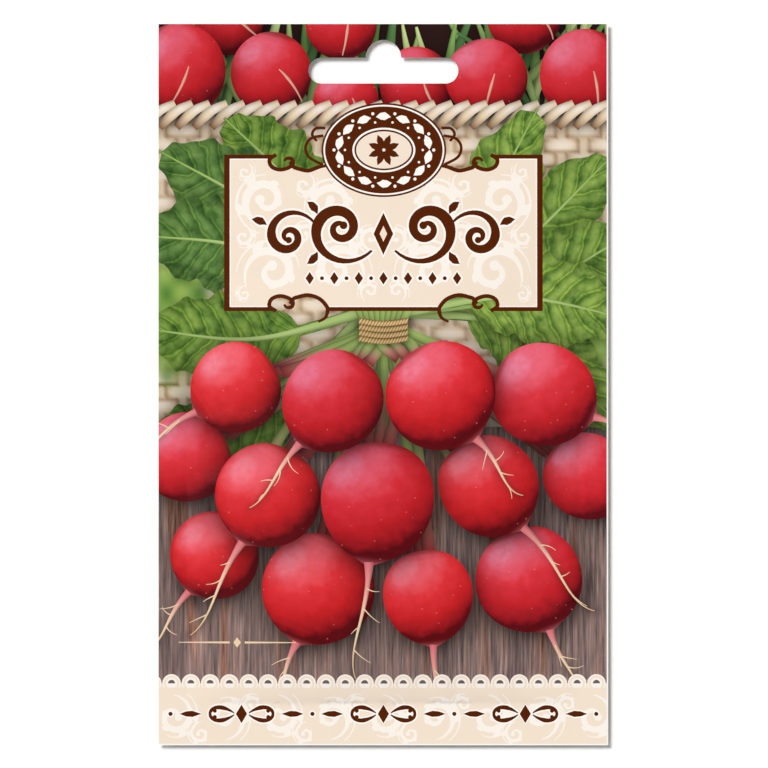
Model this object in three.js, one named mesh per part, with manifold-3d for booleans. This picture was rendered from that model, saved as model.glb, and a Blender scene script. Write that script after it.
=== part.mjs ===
// Paper seed packet with a hanging slot, lying on its back and holding a bed of seed.
// Millimetres, +Z up. X runs across the packet and +Y points to the edge with the slot.
// The origin is on the surface that the packet lies on, under its middle.

import * as THREE from 'three';
import { mergeVertices } from 'three/addons/utils/BufferGeometryUtils.js';
import Module from 'manifold-3d';

const wasm = await Module();
wasm.setup();

// Driving dimensions
const packetWidth = 96;
const packetHeight = 154;
const webThickness = 0.25;
const sideSeal = 6;
const bottomSeal = 9;
const headerHeight = 21;

// Hanging slot, cut through both webs in the sealed header
const slotWidth = 32;
const slotHeight = 5.5;
const slotBottomFromTop = 12.7;
const humpRadius = 3.8;
const slotArcSegments = 10;

// Swelling of the pouch between its seals
const backBulge = 1.1;
const frontBulge = 3.5;
const backRampSides = 12;
const backRampTop = 30;
const acrossPower = 2.4;
const fullestPower = 0.6;

// Seed
const seedPitch = 3;
const seedDepth = 2.8;
const seedJitter = 0.16;
const seedClearance = 0.1;
const neckThickness = 0.8;
const shoulderReach = 0.62;
const shoulderHeight = 0.78;
const bedHalfWidth = 22;
const bedHalfLength = 19;
const bedCentreY = -31;
const bedRandomSeed = 7;
const mergeDistance = 0.001;

// Values worked out from the ones above
const halfWidth = packetWidth / 2;
const halfHeight = packetHeight / 2;
const pouchHalfWidth = halfWidth - sideSeal;
const pouchBottom = -halfHeight + bottomSeal;
const pouchTop = halfHeight - headerHeight;
const sealPlane = backBulge + webThickness;

// Share of the front web's full height at a point, fullest where the seed has settled.
function frontSwell(x, y) {
  const along = (y - pouchBottom) / (pouchTop - pouchBottom);
  if (Math.abs(x) >= pouchHalfWidth || along <= 0 || along >= 1) return 0;
  const across = 1 - Math.pow(Math.abs(x) / pouchHalfWidth, acrossPower);
  return across * Math.sin(Math.PI * Math.pow(along, fullestPower));
}

// Share of the back web's full depth at a point, 1 on the flat that the packet rests on.
function backSwell(x, y) {
  const fromSide = THREE.MathUtils.smoothstep(pouchHalfWidth - Math.abs(x), 0, backRampSides);
  const fromBottom = THREE.MathUtils.smoothstep(y - pouchBottom, 0, backRampSides);
  const fromTop = THREE.MathUtils.smoothstep(pouchTop - y, 0, backRampTop);
  return fromSide * fromBottom * fromTop;
}

// Evenly spaced stations between successive breaks, with a number of cells for each stretch.
function stations(breaks, cells) {
  const places = [breaks[0]];
  cells.forEach((count, stretch) => {
    for (let step = 1; step <= count; step += 1) {
      places.push(THREE.MathUtils.lerp(breaks[stretch], breaks[stretch + 1], step / count));
    }
  });
  return places;
}

function solidFrom(geometry) {
  geometry.deleteAttribute('normal');
  geometry.deleteAttribute('uv');
  const merged = mergeVertices(geometry);
  return new wasm.Manifold(new wasm.Mesh({
    numProp: 3,
    vertProperties: new Float32Array(merged.attributes.position.array),
    triVerts: new Uint32Array(merged.index.array),
  }));
}

function geometryFrom(solid) {
  const mesh = solid.getMesh();
  const geometry = new THREE.BufferGeometry();
  geometry.setAttribute('position', new THREE.BufferAttribute(mesh.vertProperties, mesh.numProp));
  geometry.setIndex(new THREE.BufferAttribute(mesh.triVerts, 1));
  geometry.computeVertexNormals();
  return geometry;
}

// A sheet over the whole packet: a grid of cells on its lower face, the same on its upper
// face one web thickness higher, and a cut edge round both.
function sheetGeometry(lowerHeight) {
  const xs = stations(
    [-halfWidth, -pouchHalfWidth, -pouchHalfWidth + backRampSides,
      pouchHalfWidth - backRampSides, pouchHalfWidth, halfWidth],
    [1, 4, 8, 4, 1],
  );
  const ys = stations(
    [-halfHeight, pouchBottom, pouchBottom + backRampSides, pouchTop - backRampTop, pouchTop, halfHeight],
    [1, 4, 10, 6, 1],
  );
  const rowLength = xs.length;
  const layerSize = xs.length * ys.length;
  const positions = [];
  for (const lift of [0, webThickness]) {
    for (const y of ys) {
      for (const x of xs) positions.push(x, y, lowerHeight(x, y) + lift);
    }
  }

  const triangles = [];
  const addQuad = (a, b, c, d) => triangles.push(a, b, c, a, c, d);
  for (let row = 0; row < ys.length - 1; row += 1) {
    for (let column = 0; column < rowLength - 1; column += 1) {
      const a = row * rowLength + column;
      const b = a + 1;
      const c = b + rowLength;
      const d = a + rowLength;
      addQuad(a, d, c, b);
      addQuad(a + layerSize, b + layerSize, c + layerSize, d + layerSize);
    }
  }
  const addEdge = (from, to) => addQuad(from, to, to + layerSize, from + layerSize);
  const lastRow = (ys.length - 1) * rowLength;
  for (let column = 0; column < rowLength - 1; column += 1) {
    addEdge(column, column + 1);
    addEdge(lastRow + column + 1, lastRow + column);
  }
  for (let row = 0; row < ys.length - 1; row += 1) {
    const left = row * rowLength;
    const right = left + rowLength - 1;
    addEdge(left + rowLength, left);
    addEdge(right, right + rowLength);
  }

  const geometry = new THREE.BufferGeometry();
  geometry.setAttribute('position', new THREE.Float32BufferAttribute(positions, 3));
  geometry.setIndex(triangles);
  return geometry;
}

// The slot's outline: a bar with round ends and a round hump in the middle of its upper side.
function slotCutter() {
  const endRadius = slotHeight / 2;
  const middleY = halfHeight - slotBottomFromTop + endRadius;
  const topY = middleY + endRadius;
  const endX = slotWidth / 2 - endRadius;
  const outline = new THREE.Shape();
  outline.moveTo(-endX, middleY - endRadius);
  outline.lineTo(endX, middleY - endRadius);
  outline.absarc(endX, middleY, endRadius, -Math.PI / 2, Math.PI / 2, false);
  outline.lineTo(humpRadius, topY);
  outline.absarc(0, topY, humpRadius, 0, Math.PI, false);
  outline.lineTo(-endX, topY);
  outline.absarc(-endX, middleY, endRadius, Math.PI / 2, Math.PI * 1.5, false);
  const past = 2;
  const cutter = new THREE.ExtrudeGeometry(outline, {
    depth: 2 * (webThickness + past),
    bevelEnabled: false,
    curveSegments: slotArcSegments,
  });
  cutter.translate(0, 0, sealPlane - webThickness - past);
  return solidFrom(cutter);
}

function webGeometry(lowerHeight) {
  return geometryFrom(solidFrom(sheetGeometry(lowerHeight)).subtract(slotCutter()));
}

// A repeatable stream of numbers between 0 and 1.
function randomStream(start) {
  let state = start;
  return () => {
    state = (state * 1664525 + 1013904223) % 4294967296;
    return state / 4294967296;
  };
}

// Places of the seeds: a six-sided packing inside an oval, counted in steps along two rows.
function seedPlaces() {
  const places = [];
  const reach = Math.ceil(2 * bedHalfLength / seedPitch);
  for (let row = -reach; row <= reach; row += 1) {
    for (let step = -reach; step <= reach; step += 1) {
      const x = seedPitch * (step + row / 2);
      const y = seedPitch * row * Math.sqrt(3) / 2;
      if (Math.hypot(x / bedHalfWidth, y / bedHalfLength) <= 1) places.push({ step, row, x, y });
    }
  }
  return places;
}

// The settled seed, one deep. Each seed is a domed body above and below, grown together with
// the seeds that it touches by a short neck.
function seedBedGeometry() {
  const random = randomStream(bedRandomSeed);
  const wander = () => (random() - 0.5) * 2 * seedJitter;
  const places = seedPlaces();
  const taken = new Set(places.map(({ step, row }) => `${step},${row}`));
  const neighbours = [[1, 0], [0, 1], [-1, 1], [-1, 0], [0, -1], [1, -1]];
  const middleHeight = webThickness + seedClearance + seedDepth / 2;
  const cornerReach = seedPitch / Math.sqrt(3);
  const positions = [];
  const addTriangle = (a, b, c) => positions.push(...a, ...b, ...c);

  for (const { step, row, x, y } of places) {
    const point = (corner, reach, height, shiftX = 0, shiftY = 0) => {
      const angle = (corner - 0.5) * Math.PI / 3;
      return [
        x + shiftX + reach * Math.cos(angle),
        bedCentreY + y + shiftY + reach * Math.sin(angle),
        middleHeight + height,
      ];
    };
    for (const side of [1, -1]) {
      const crown = side * (seedDepth / 2) * (1 - seedJitter * random());
      const shoulder = crown * shoulderHeight;
      const neck = side * neckThickness / 2;
      const [shiftX, shiftY] = [wander(), wander()];
      const addFace = (a, b, c) => (side > 0 ? addTriangle(a, b, c) : addTriangle(a, c, b));
      for (let corner = 0; corner < 6; corner += 1) {
        const next = (corner + 1) % 6;
        const top = point(corner, 0, crown, shiftX, shiftY);
        const inner = point(corner, cornerReach * shoulderReach, shoulder, shiftX, shiftY);
        const innerNext = point(next, cornerReach * shoulderReach, shoulder, shiftX, shiftY);
        const outer = point(corner, cornerReach, neck);
        const outerNext = point(next, cornerReach, neck);
        addFace(top, inner, innerNext);
        addFace(inner, outer, outerNext);
        addFace(inner, outerNext, innerNext);
      }
    }
    neighbours.forEach(([stepTo, rowTo], corner) => {
      if (taken.has(`${step + stepTo},${row + rowTo}`)) return;
      const next = (corner + 1) % 6;
      const low = point(corner, cornerReach, -neckThickness / 2);
      const lowNext = point(next, cornerReach, -neckThickness / 2);
      const high = point(corner, cornerReach, neckThickness / 2);
      const highNext = point(next, cornerReach, neckThickness / 2);
      addTriangle(low, lowNext, highNext);
      addTriangle(low, highNext, high);
    });
  }
  const geometry = new THREE.BufferGeometry();
  geometry.setAttribute('position', new THREE.Float32BufferAttribute(positions, 3));
  return mergeVertices(geometry, mergeDistance);
}

function subPart(name, geometry, color, roughness) {
  const mesh = new THREE.Mesh(geometry, new THREE.MeshStandardMaterial({ color, roughness, metalness: 0 }));
  mesh.name = name;
  return mesh;
}

const packet = new THREE.Group();
packet.add(subPart(
  'back_web',
  webGeometry((x, y) => backBulge * (1 - backSwell(x, y))),
  0xf1e1ce,
  0.4,
));
packet.add(subPart(
  'front_web',
  webGeometry((x, y) => sealPlane + frontBulge * frontSwell(x, y)),
  0xb3202a,
  0.3,
));
packet.add(subPart('seeds', seedBedGeometry(), 0x9a6b42, 0.8));

export default packet;
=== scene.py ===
# A paper seed packet lying on its back: the printed front web, the back web, and the seed between them.
# Drawing sizes are in millimetres, with the packet's middle at 0, 0 and its hanging slot towards +Y.
import math
from functools import partial

import bmesh
import bpy
import numpy as np
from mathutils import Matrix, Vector
from mathutils.geometry import delaunay_2d_cdt


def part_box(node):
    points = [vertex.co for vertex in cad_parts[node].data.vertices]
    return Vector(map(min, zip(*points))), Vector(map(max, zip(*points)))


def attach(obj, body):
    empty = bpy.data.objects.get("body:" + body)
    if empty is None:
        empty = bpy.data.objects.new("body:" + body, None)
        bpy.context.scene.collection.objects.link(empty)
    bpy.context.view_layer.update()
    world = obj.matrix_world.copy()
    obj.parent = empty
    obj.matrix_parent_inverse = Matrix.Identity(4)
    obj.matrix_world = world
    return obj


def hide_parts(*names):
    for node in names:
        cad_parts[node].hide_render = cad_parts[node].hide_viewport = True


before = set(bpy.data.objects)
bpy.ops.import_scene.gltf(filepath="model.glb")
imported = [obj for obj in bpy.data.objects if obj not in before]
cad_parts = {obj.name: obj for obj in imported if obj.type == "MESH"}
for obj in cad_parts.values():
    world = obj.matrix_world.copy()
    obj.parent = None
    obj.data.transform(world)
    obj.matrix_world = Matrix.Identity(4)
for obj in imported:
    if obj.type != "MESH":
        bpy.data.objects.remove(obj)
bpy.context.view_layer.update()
print("frame loaded")

mm = 0.001
frontLow, frontHigh = [np.array(corner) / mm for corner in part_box("front_web")]
bedLow, bedHigh = [np.array(corner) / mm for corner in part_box("seeds")]

# The packet's paper and how it swells between its seals
packet = {
    "paperThickness": 0.15,
    "sideSeal": 6,
    "bottomSeal": 9,
    "header": 21,
    "rampSides": 12,
    "rampTop": 30,
    "acrossPower": 2.4,
    "fullestPower": 0.6,
    "swellShare": 0.97,  # of the room there is, so that creases and seed still fit
    "creaseHeight": 0.07,
    "creaseReach": (5, 6),  # from a seal at the side or the end to where the creases are highest
    "seedShow": 0.04,  # how far the seed shows through the paper
    "allowance": 0.08,  # how far the form lies back to leave room for both
    "drawSpacing": 0.8,
    "plainSpacing": 3.0,
    "edgeSpacing": 1.2,
    "merge": 0.005,  # points of the drawing nearer than this become one
    "slopeStep": 0.2,  # how far to each side the form is felt for its slope
    "pointsAtOnce": 4000,
}
halfWidth, halfHeight = frontHigh[:2]
sealPlane = frontLow[2]
pouchHalfWidth = halfWidth - packet["sideSeal"]
pouchBottom = packet["bottomSeal"] - halfHeight
pouchTop = halfHeight - packet["header"]

slot = {"width": 32, "height": 5.5, "bottomFromTop": 12.7, "humpRadius": 3.8}

random = np.random.default_rng(12)
vary = random.uniform


# Colours, nodes and objects

def linear(hexColour):
    channels = [int(hexColour[i:i + 2], 16) / 255 for i in (0, 2, 4)]
    return np.array([c / 12.92 if c <= 0.04045 else ((c + 0.055) / 1.055) ** 2.4 for c in channels])


def rgba(hexColour):
    return (*linear(hexColour), 1.0)


def addNode(tree, kind, inputs=None, stops=None, **settings):
    # Inputs go by name or, in a list, by their order. A node given as an input lends its first output.
    node = tree.nodes.new("ShaderNode" + kind)
    for name, value in settings.items():
        setattr(node, name, value)
    for key, value in inputs.items() if isinstance(inputs, dict) else enumerate(inputs or []):
        source = value.outputs[0] if isinstance(value, bpy.types.Node) else value
        if isinstance(source, bpy.types.NodeSocket):
            tree.links.new(source, node.inputs[key])
        else:
            node.inputs[key].default_value = source
    if stops:
        elements = node.color_ramp.elements
        while len(elements) < len(stops):
            elements.new(1.0)
        for element, (place, colour) in zip(elements, stops):
            element.position = place
            element.color = rgba(colour)
    return node


def addObject(name, data):
    added = bpy.data.objects.new(name, data)
    bpy.context.collection.objects.link(added)
    return added


# Outlines and paths, each an array of points in millimetres

def direction(angle):
    return np.array((math.cos(angle), math.sin(angle)))


def onOval(cx, cy, rx, ry, angle):
    return np.column_stack([cx + rx * np.cos(angle), cy + ry * np.sin(angle)])


def ovalOutline(cx, cy, rx, ry=None, steps=None):
    stepLength, fewest, most = 0.35, 14, 160
    ry = rx if ry is None else ry
    steps = steps or int(np.clip(math.tau * max(rx, ry) / stepLength, fewest, most))
    return onOval(cx, cy, rx, ry, np.linspace(0, math.tau, steps, endpoint=False))


def boxOutline(x0, y0, x1, y1):
    return np.array([(x0, y0), (x1, y0), (x1, y1), (x0, y1)], float)


def lozenge(cx, cy, rx, ry):
    return (cx, cy) + np.array([(-rx, 0), (0, -ry), (rx, 0), (0, ry)])


def smoothPath(points, steps=24):
    # A Catmull-Rom curve through the points
    points = np.array(points, float)
    padded = np.vstack([2 * points[0] - points[1], points, 2 * points[-1] - points[-2]])
    parts = []
    t = np.linspace(0, 1, max(2, steps // (len(points) - 1)), endpoint=False)[:, None]
    for a, b, c, d in zip(padded, padded[1:], padded[2:], padded[3:]):
        parts.append(0.5 * (2 * b + (c - a) * t + (2 * a - 5 * b + 4 * c - d) * t ** 2
                            + (3 * b - a - 3 * c + d) * t ** 3))
    return np.vstack(parts + [points[-1:]])


def curlPath(x, y, heading, length, bend, wind, steps=54):
    # Turns evenly by bend and winds up towards its tip by wind, both in degrees
    t = (np.arange(steps) + 0.5) / steps
    angle = np.radians(heading + bend * t + wind * t ** 4)
    moves = np.column_stack([np.cos(angle), np.sin(angle)]) * length / steps
    return np.vstack([[x, y], [x, y] + np.cumsum(moves, axis=0)])


def spiralPath(cx, cy, outer, inner, start, turn):
    # Winds in from the outer radius to the inner one, with start and turn in degrees
    degreesPerStep = 10
    t = np.linspace(0, 1, int(abs(turn) / degreesPerStep) + 2)
    radius = outer * (inner / outer) ** t
    return onOval(cx, cy, radius, radius, np.radians(start + turn * t))


def headingAt(path, number):
    along = path[number + 1] - path[number]
    return math.degrees(math.atan2(along[1], along[0]))


def pathFrame(path):
    # Directions along the path and to its left, and the length of each step
    along = np.gradient(path, axis=0)
    step = np.linalg.norm(along, axis=1) + 1e-9
    along /= step[:, None]
    return along, np.column_stack([-along[:, 1], along[:, 0]]), step


def widthsAlong(path, widths):
    places, values = zip(*widths)
    return np.interp(np.linspace(0, 1, len(path)), places, values)


def strokeOutline(path, halfWidths):
    side = pathFrame(path)[1] * halfWidths[:, None]
    return np.vstack([path + side, (path - side)[::-1]])


def isInside(outline, points):
    # By how often the outline's edges pass each point, rising on one side and falling on the other
    a, b = outline, np.roll(outline, -1, axis=0)
    near = ((points >= a.min(axis=0)) & (points <= a.max(axis=0))).all(axis=1)
    x, y = points[near, 0, None], points[near, 1, None]
    side = (b[:, 0] - a[:, 0]) * (y - a[:, 1]) - (x - a[:, 0]) * (b[:, 1] - a[:, 1])
    rising = (a[:, 1] <= y) & (b[:, 1] > y) & (side > 0)
    falling = (a[:, 1] > y) & (b[:, 1] <= y) & (side < 0)
    inside = np.zeros(len(points), bool)
    inside[near] = rising.sum(axis=1) != falling.sum(axis=1)
    return inside


def nearestOn(path, points):
    # Number of the nearest point of the path, and how far away it is
    nearest = np.zeros(len(points), int)
    gap = np.zeros(len(points))
    for start in range(0, len(points), packet["pointsAtOnce"]):
        part = slice(start, start + packet["pointsAtOnce"])
        square = ((points[part, None] - path[None]) ** 2).sum(axis=2)
        nearest[part] = square.argmin(axis=1)
        gap[part] = np.sqrt(square.min(axis=1))
    return nearest, gap


# Where a printed point lies in its own shape, which the inks shade by

def placeOnDisc(cx, cy, radius, axis):
    # Across and up from the middle, and towards the crown along the axis
    def place(points):
        offset = (points - (cx, cy)) / radius
        return np.column_stack([offset, offset @ axis])
    return place


def placeOnPath(path, halfWidths):
    # Share of the way along, and share of the half width to the left or right
    def place(points):
        nearest = nearestOn(path, points)[0]
        along, left, step = pathFrame(path)
        offset = points - path[nearest]
        forward = (offset * along[nearest]).sum(axis=1) / step[nearest]
        across = (offset * left[nearest]).sum(axis=1) / np.maximum(halfWidths[nearest], 0.05)
        share = np.clip((nearest + forward) / (len(path) - 1), 0, 1)
        return np.column_stack([share, np.clip(across, -1, 1), np.zeros(len(points))])
    return place


# Artwork is a list of shapes in painting order, each with an ink and a tint

def addShape(art, outline, ink, tint, place=None, shadow=None):
    # A shadow is how far it reaches round the shape, and how deep it is
    tints = [tint] if isinstance(tint, str) else tint
    art.append({
        "outline": np.asarray(outline, float),
        "ink": ink,
        "tints": np.array([linear(inkColours.get(t, t)) for t in tints]),
        "place": place,
        "shadow": shadow,
    })


def addStrand(art, path, widths, tint, shadow=None):
    halfWidths = widthsAlong(path, widths)
    addShape(art, strokeOutline(path, halfWidths), "strand", tint, placeOnPath(path, halfWidths), shadow)


class Pen:
    # Draws plain shapes in one tint, grown by a margin, and once more mirrored where mirrorX is given

    # How far along a scroll each leaflet lies, then its length and width as parts of the radius
    scrollLeaflets = ((0.16, 0.66, 0.3), (0.3, 0.58, 0.3), (0.44, 0.42, 0.24), (0.62, 0.3, 0.18))

    def __init__(self, art, tint, grow=0.0, mirrorX=None):
        self.art = art
        self.tint = tint
        self.grow = grow
        self.mirrorX = mirrorX

    def flat(self, outline):
        addShape(self.art, outline, "flat", self.tint)
        if self.mirrorX is not None:
            addShape(self.art, outline * (-1, 1) + (2 * self.mirrorX, 0), "flat", self.tint)

    def box(self, x0, y0, x1, y1):
        self.flat(boxOutline(x0, y0, x1, y1))

    def dot(self, x, y, radius):
        self.flat(ovalOutline(x, y, radius + self.grow))

    def lozenge(self, x, y, rx, ry):
        self.flat(lozenge(x, y, rx + self.grow, ry + self.grow))

    def line(self, path, widths):
        self.flat(strokeOutline(path, widthsAlong(path, widths) + self.grow))

    def leaflet(self, x, y, heading, length, bend, width):
        path = curlPath(x, y, heading, length, bend, 0, 10)
        self.line(path, [(0, 0.02), (0.4, width / 2), (0.7, width * 0.42), (1, 0.02)])

    def curl(self, x, y, heading, length, bend, wind, width):
        # A swelling stroke that winds up at its tip, round a small ball
        path = curlPath(x, y, heading, length, bend, wind)
        half = width / 2
        self.line(path, [(0, half * 0.25), (0.35, half), (0.75, half * 0.7), (1, half * 0.4)])
        self.dot(*path[-1], half * 0.9)

    def scroll(self, x, y, radius, start, turn):
        # A damask spiral round a ball, with leaflets along it and a thin line that runs beside it
        path = spiralPath(x, y, radius, radius * 0.22, start, turn)
        half = radius * 0.15
        side = math.copysign(1, turn)
        self.line(path, [(0, 0.1), (0.25, half), (0.6, half * 0.8), (1, half * 0.5)])
        self.dot(*path[-1], half * 1.15)
        beside = spiralPath(x, y, radius * 1.2, radius * 0.85, start + side * 30, side * 170)
        self.line(beside, [(0, 0.1), (0.5, radius * 0.05), (1, 0.1)])
        for share, length, width in self.scrollLeaflets:
            number = int(share * (len(path) - 1))
            heading = headingAt(path, number) - side * 44
            self.leaflet(*path[number], heading, radius * length, side * 48, radius * width)


# The print's colours, taken as they look under the studio light
inkColours = {
    "brown": "531F00",
    "cream": "F0DFCB",
    "creamPale": "F8EFE5",
    "keyline": "FDF6EE",
    "board": "B4A09C",
    "eyelet": "6B5C5C",
    "rootPale": "E9CDA9",
    "barePaper": "F7F5F1",
}


# The picture on the front: a tied bunch of radishes, fanned out on a dark board

bunch = {
    "tie": np.array((0.0, 11.5)),
    "tieHalfLength": 5.2,
    "twineTurns": 4,
    "twinePitch": 1.25,
    "twineStrands": 16,  # short strands laid across each turn of twine
    "stalks": 9,
    "rows": [  # painted from the lowest row up, as x, y and radius
        [(-36.0, -36.5, 9.4), (31.0, -41.5, 11.4), (-13.8, -43.5, 12.0), (9.6, -45.0, 9.9)],
        [(-42.0, -15.5, 9.6), (43.5, -19.5, 9.4), (-24.6, -23.6, 11.2), (22.4, -21.6, 10.8),
         (-1.4, -24.6, 12.5)],
        [(-31.5, -0.6, 9.7), (34.0, -2.2, 11.2), (-10.8, -3.4, 10.9), (12.2, -2.2, 11.7)],
    ],
    "stemsEach": 3,
    "stemHalfWidth": 1.15,
    "tailLength": (15, 26),
    "leaves": [  # tip x, tip y, rise of the middle and half width, back to front
        (-34, 57, 5, 8.0), (33, 59, -5, 8.0),
        (-48, 50, 4, 8.5), (49, 49, -5, 8.5), (-52, -13, -9, 8.0), (52, -10, 9, 7.5),
        (-53, 32, 5, 9.0), (54, 33, -5, 9.0), (-52, 12, -4, 8.5), (53, 14, 4, 8.5),
    ],
    "bladeStart": 0.3,  # share of a leaf's length that is bare stalk
    "leafGreens": ["9AB466", "B4CA7A", "80A06A", "A2BA70"],
    "ribTints": ["9DB56C", "A9C079", "8FAE5A"],
    "stemTints": ["A63A40", "C58B78", "A9BE72", "9DB765", "A5BC6B"],
    "skinTints": ["FFFFFF", "FFEFEA", "F3E4E8", "FFF4E6"],
    "tailTints": ["CF6A72", "DC928C", "E8C2A8", "E9CDA9", "DDBE95", "D2B088"],
}


def addLeaf(art, tipX, tipY, rise, half, tint):
    tip = np.array((tipX, tipY), float)
    root = bunch["tie"] + (3.5 * np.sign(tipX), 4)
    path = smoothPath([root, (root + tip) / 2 + (0, rise), tip], 60)
    t = np.linspace(0, 1, len(path))
    blade = np.clip((t - bunch["bladeStart"]) / (1 - bunch["bladeStart"]), 0, 1)
    width = 1.1 + half * np.sin(math.pi * blade ** 0.85) ** 0.75
    lobes = 1 + 0.09 * np.sin(blade * 26 + vary(0, 6)) + 0.04 * np.sin(blade * 61)
    width = np.where(t > 0.98, 0.3, width * lobes)
    addShape(art, strokeOutline(path, width), "leaf", tint, placeOnPath(path, width), (1.6, 0.5))
    addStrand(art, path, [(0, 1.2), (0.4, 0.55), (1, 0.12)], bunch["ribTints"])


def addStems(art, crown, radius):
    tie = bunch["tie"]
    for spread in np.linspace(-1, 1, bunch["stemsEach"]):
        start = crown + (spread * radius * 0.16, 0)
        end = tie + (spread * 1.6 + 0.1 * (crown[0] - tie[0]), vary(-0.4, 0.4))
        middle = (start + end) / 2 + (vary(-1, 1) + spread, vary(-0.6, 0.6))
        half = bunch["stemHalfWidth"] * vary(0.85, 1.1)
        widths = [(0, half * 1.25), (0.2, half), (1, half * 0.8)]
        addStrand(art, smoothPath([start, middle, end], 18), widths, bunch["stemTints"], (0.8, 0.3))


def addBulb(art, cx, cy, radius):
    # One radish in profile: crown towards the tie, body, tapering tail and fine side roots
    tieX, tieY = bunch["tie"]
    towards = math.atan2(tieY - cy, tieX - cx) + vary(-0.2, 0.2)
    axis = direction(towards)
    angle = np.linspace(0, math.tau, 120, endpoint=False)
    fromTail = np.abs((angle - towards) % math.tau - math.pi)
    fromCrown = math.pi - fromTail
    stretch = vary(-0.02, 0.05)
    leans = vary(-0.012, 0.012, 2)
    ends = 0.1 * np.exp(-(fromTail / 0.15) ** 1.2) - 0.04 * np.exp(-(fromCrown / 0.4) ** 2)
    uneven = leans[0] * np.sin(angle - towards) + leans[1] * np.sin(3 * angle)
    reach = radius * (1 + ends + stretch * np.cos(2 * (angle - towards)) + uneven)
    place = placeOnDisc(cx, cy, radius * (1 + stretch), axis)
    addShape(art, onOval(cx, cy, reach, reach, angle), "bulb", random.choice(bunch["skinTints"]), place,
             (3.3, 0.8))

    length = vary(*bunch["tailLength"])
    start = (cx, cy) - axis * radius * (1.03 + stretch)
    bend = vary(25, 70) * random.choice([-1, 1])
    heading = math.degrees(towards) + 180 - bend * 0.2
    tail = curlPath(*start, heading, length, bend, -bend * 1.6, 36)
    widths = [(0, radius * 0.085), (0.16, 0.55), (0.5, 0.3), (1, 0.1)]
    addStrand(art, tail, widths, bunch["tailTints"], (0.9, 0.4))
    for number in (8, 14, 20, 27):
        rootlet = curlPath(*tail[number], heading + vary(-75, 75), vary(2, 5), vary(-60, 60), 0, 10)
        addStrand(art, rootlet, [(0, 0.16), (1, 0.05)], "rootPale")


def addTie(art):
    # The stalks above the tie, and turns of twine, each laid up from short slanting strands
    tieX, tieY = bunch["tie"]
    halfLength, strands = bunch["tieHalfLength"], bunch["twineStrands"]
    for spread in np.linspace(-1, 1, bunch["stalks"]):
        stalk = [(tieX + spread * wide, tieY + rise) for wide, rise in ((3.9, -2), (4.2, 2), (6.4, 7))]
        addStrand(art, smoothPath(stalk, 16), [(0, 0.9), (1, 0.9)], ["A5BC6B", "93B05E"], (0.7, 0.4))
    for turn in range(bunch["twineTurns"]):
        y = tieY - 1.9 + turn * bunch["twinePitch"]
        path = smoothPath([(tieX - halfLength, y + 0.3), (tieX, y - 0.35), (tieX + halfLength, y + 0.3)], 20)
        addStrand(art, path, [(0, 0.6), (1, 0.6)], "A77F4C", (0.8, 0.45))
        for side in (np.arange(strands) + 0.5) * 2 / strands - 1:
            x = tieX + halfLength * side
            dip = y + 0.3 - 0.65 * (1 - side ** 2)
            slant = smoothPath([(x - 0.32, dip - 0.5), (x, dip), (x + 0.32, dip + 0.5)], 6)
            addStrand(art, slant, [(0, 0.08), (0.5, 0.2), (1, 0.08)], "D9BC88")


backdrop = {
    "boardTop": -9,  # where the dark board meets the basket
    "rim": 57.5,  # the basket's braided rim
    "rimHalf": 2.6,
    "rimStrand": 3.7,  # mm from one slanting strand of the rim to the next
    "strandHeight": 3.1,
    "stakePitch": 9.5,
    "strawDark": "7A5335",
    "straw": "E3CBAA",
    "strawPale": "F3E6D6",
    "hollow": "2C1714",
    "heap": [  # radishes in the basket as x, y and radius, back to front
        (-9, 77, 7.6), (-33, 78, 7.4), (30, 79, 8.0), (7, 64, 7.8), (-24, 66.5, 8.6), (22, 65.5, 8.8),
        (-43.5, 67, 9.8), (43, 66, 9.6), (-8, 60.5, 7.0),
    ],
    "grass": 64,  # blades of green standing between them
    "grassGreens": ["6E9A50", "A6C474", "557F48", "C6D890", "86AE60"],
    "greens": [(-45, 15, 9, 14), (45, 17, 9, 15)],  # blurred tops beside the label, with their half sizes
    "edge": 0.9,  # mm over which blurred edges fade
}


def softStep(beyond, width):
    return 1 / (1 + np.exp(beyond / width))


def blend(colour, over, amount):
    return colour * (1 - amount[:, None]) + over * amount[:, None]


def paintBackdrop(points):
    # The part of the picture that is out of focus, as a soft colour at each point
    x, y = points[:, 0], points[:, 1]
    edge = backdrop["edge"]
    cream, straw, dark = [linear(backdrop[name]) for name in ("strawPale", "straw", "strawDark")]

    # Woven side: each strand runs over a stake and under the next
    row = np.floor(y / backdrop["strandHeight"])
    turn = x / backdrop["stakePitch"] + row / 2
    fromStake = np.abs(turn - np.round(turn))
    inStrand = np.sin(math.pi * (y / backdrop["strandHeight"] - row)) ** 0.5
    strand = np.cos(np.clip(fromStake / 0.4, 0, 1) * math.pi / 2) ** 0.5 * inStrand
    stake = 0.62 * np.cos(np.clip((0.5 - fromStake) / 0.13, 0, 1) * math.pi / 2) ** 0.6
    weave = np.maximum(strand, stake)
    colour = blend(blend(np.tile(dark, (len(points), 1)), straw, np.clip(weave * 1.5, 0, 1)), cream,
                   np.clip(weave * 1.6 - 0.75, 0, 1))

    # Hollow above the rim, and blurred greens
    colour = blend(colour, linear(backdrop["hollow"]), softStep(backdrop["rim"] - y, edge))
    for cx, cy, rx, ry in backdrop["greens"]:
        reach = np.hypot((x - cx) / rx, (y - cy) / ry)
        ripple = np.sin(x * 0.9 + cy) * np.cos(y * 0.7 + cx)
        green = blend(linear("4F7F33"), linear("A8C860"), np.clip(0.45 + 0.4 * ripple, 0, 1))
        colour = blend(colour, green, softStep((reach - 1 + 0.12 * ripple) * min(rx, ry), edge))
    return blend(colour, linear("82706C"), softStep(y - backdrop["boardTop"], 1.5))


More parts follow.
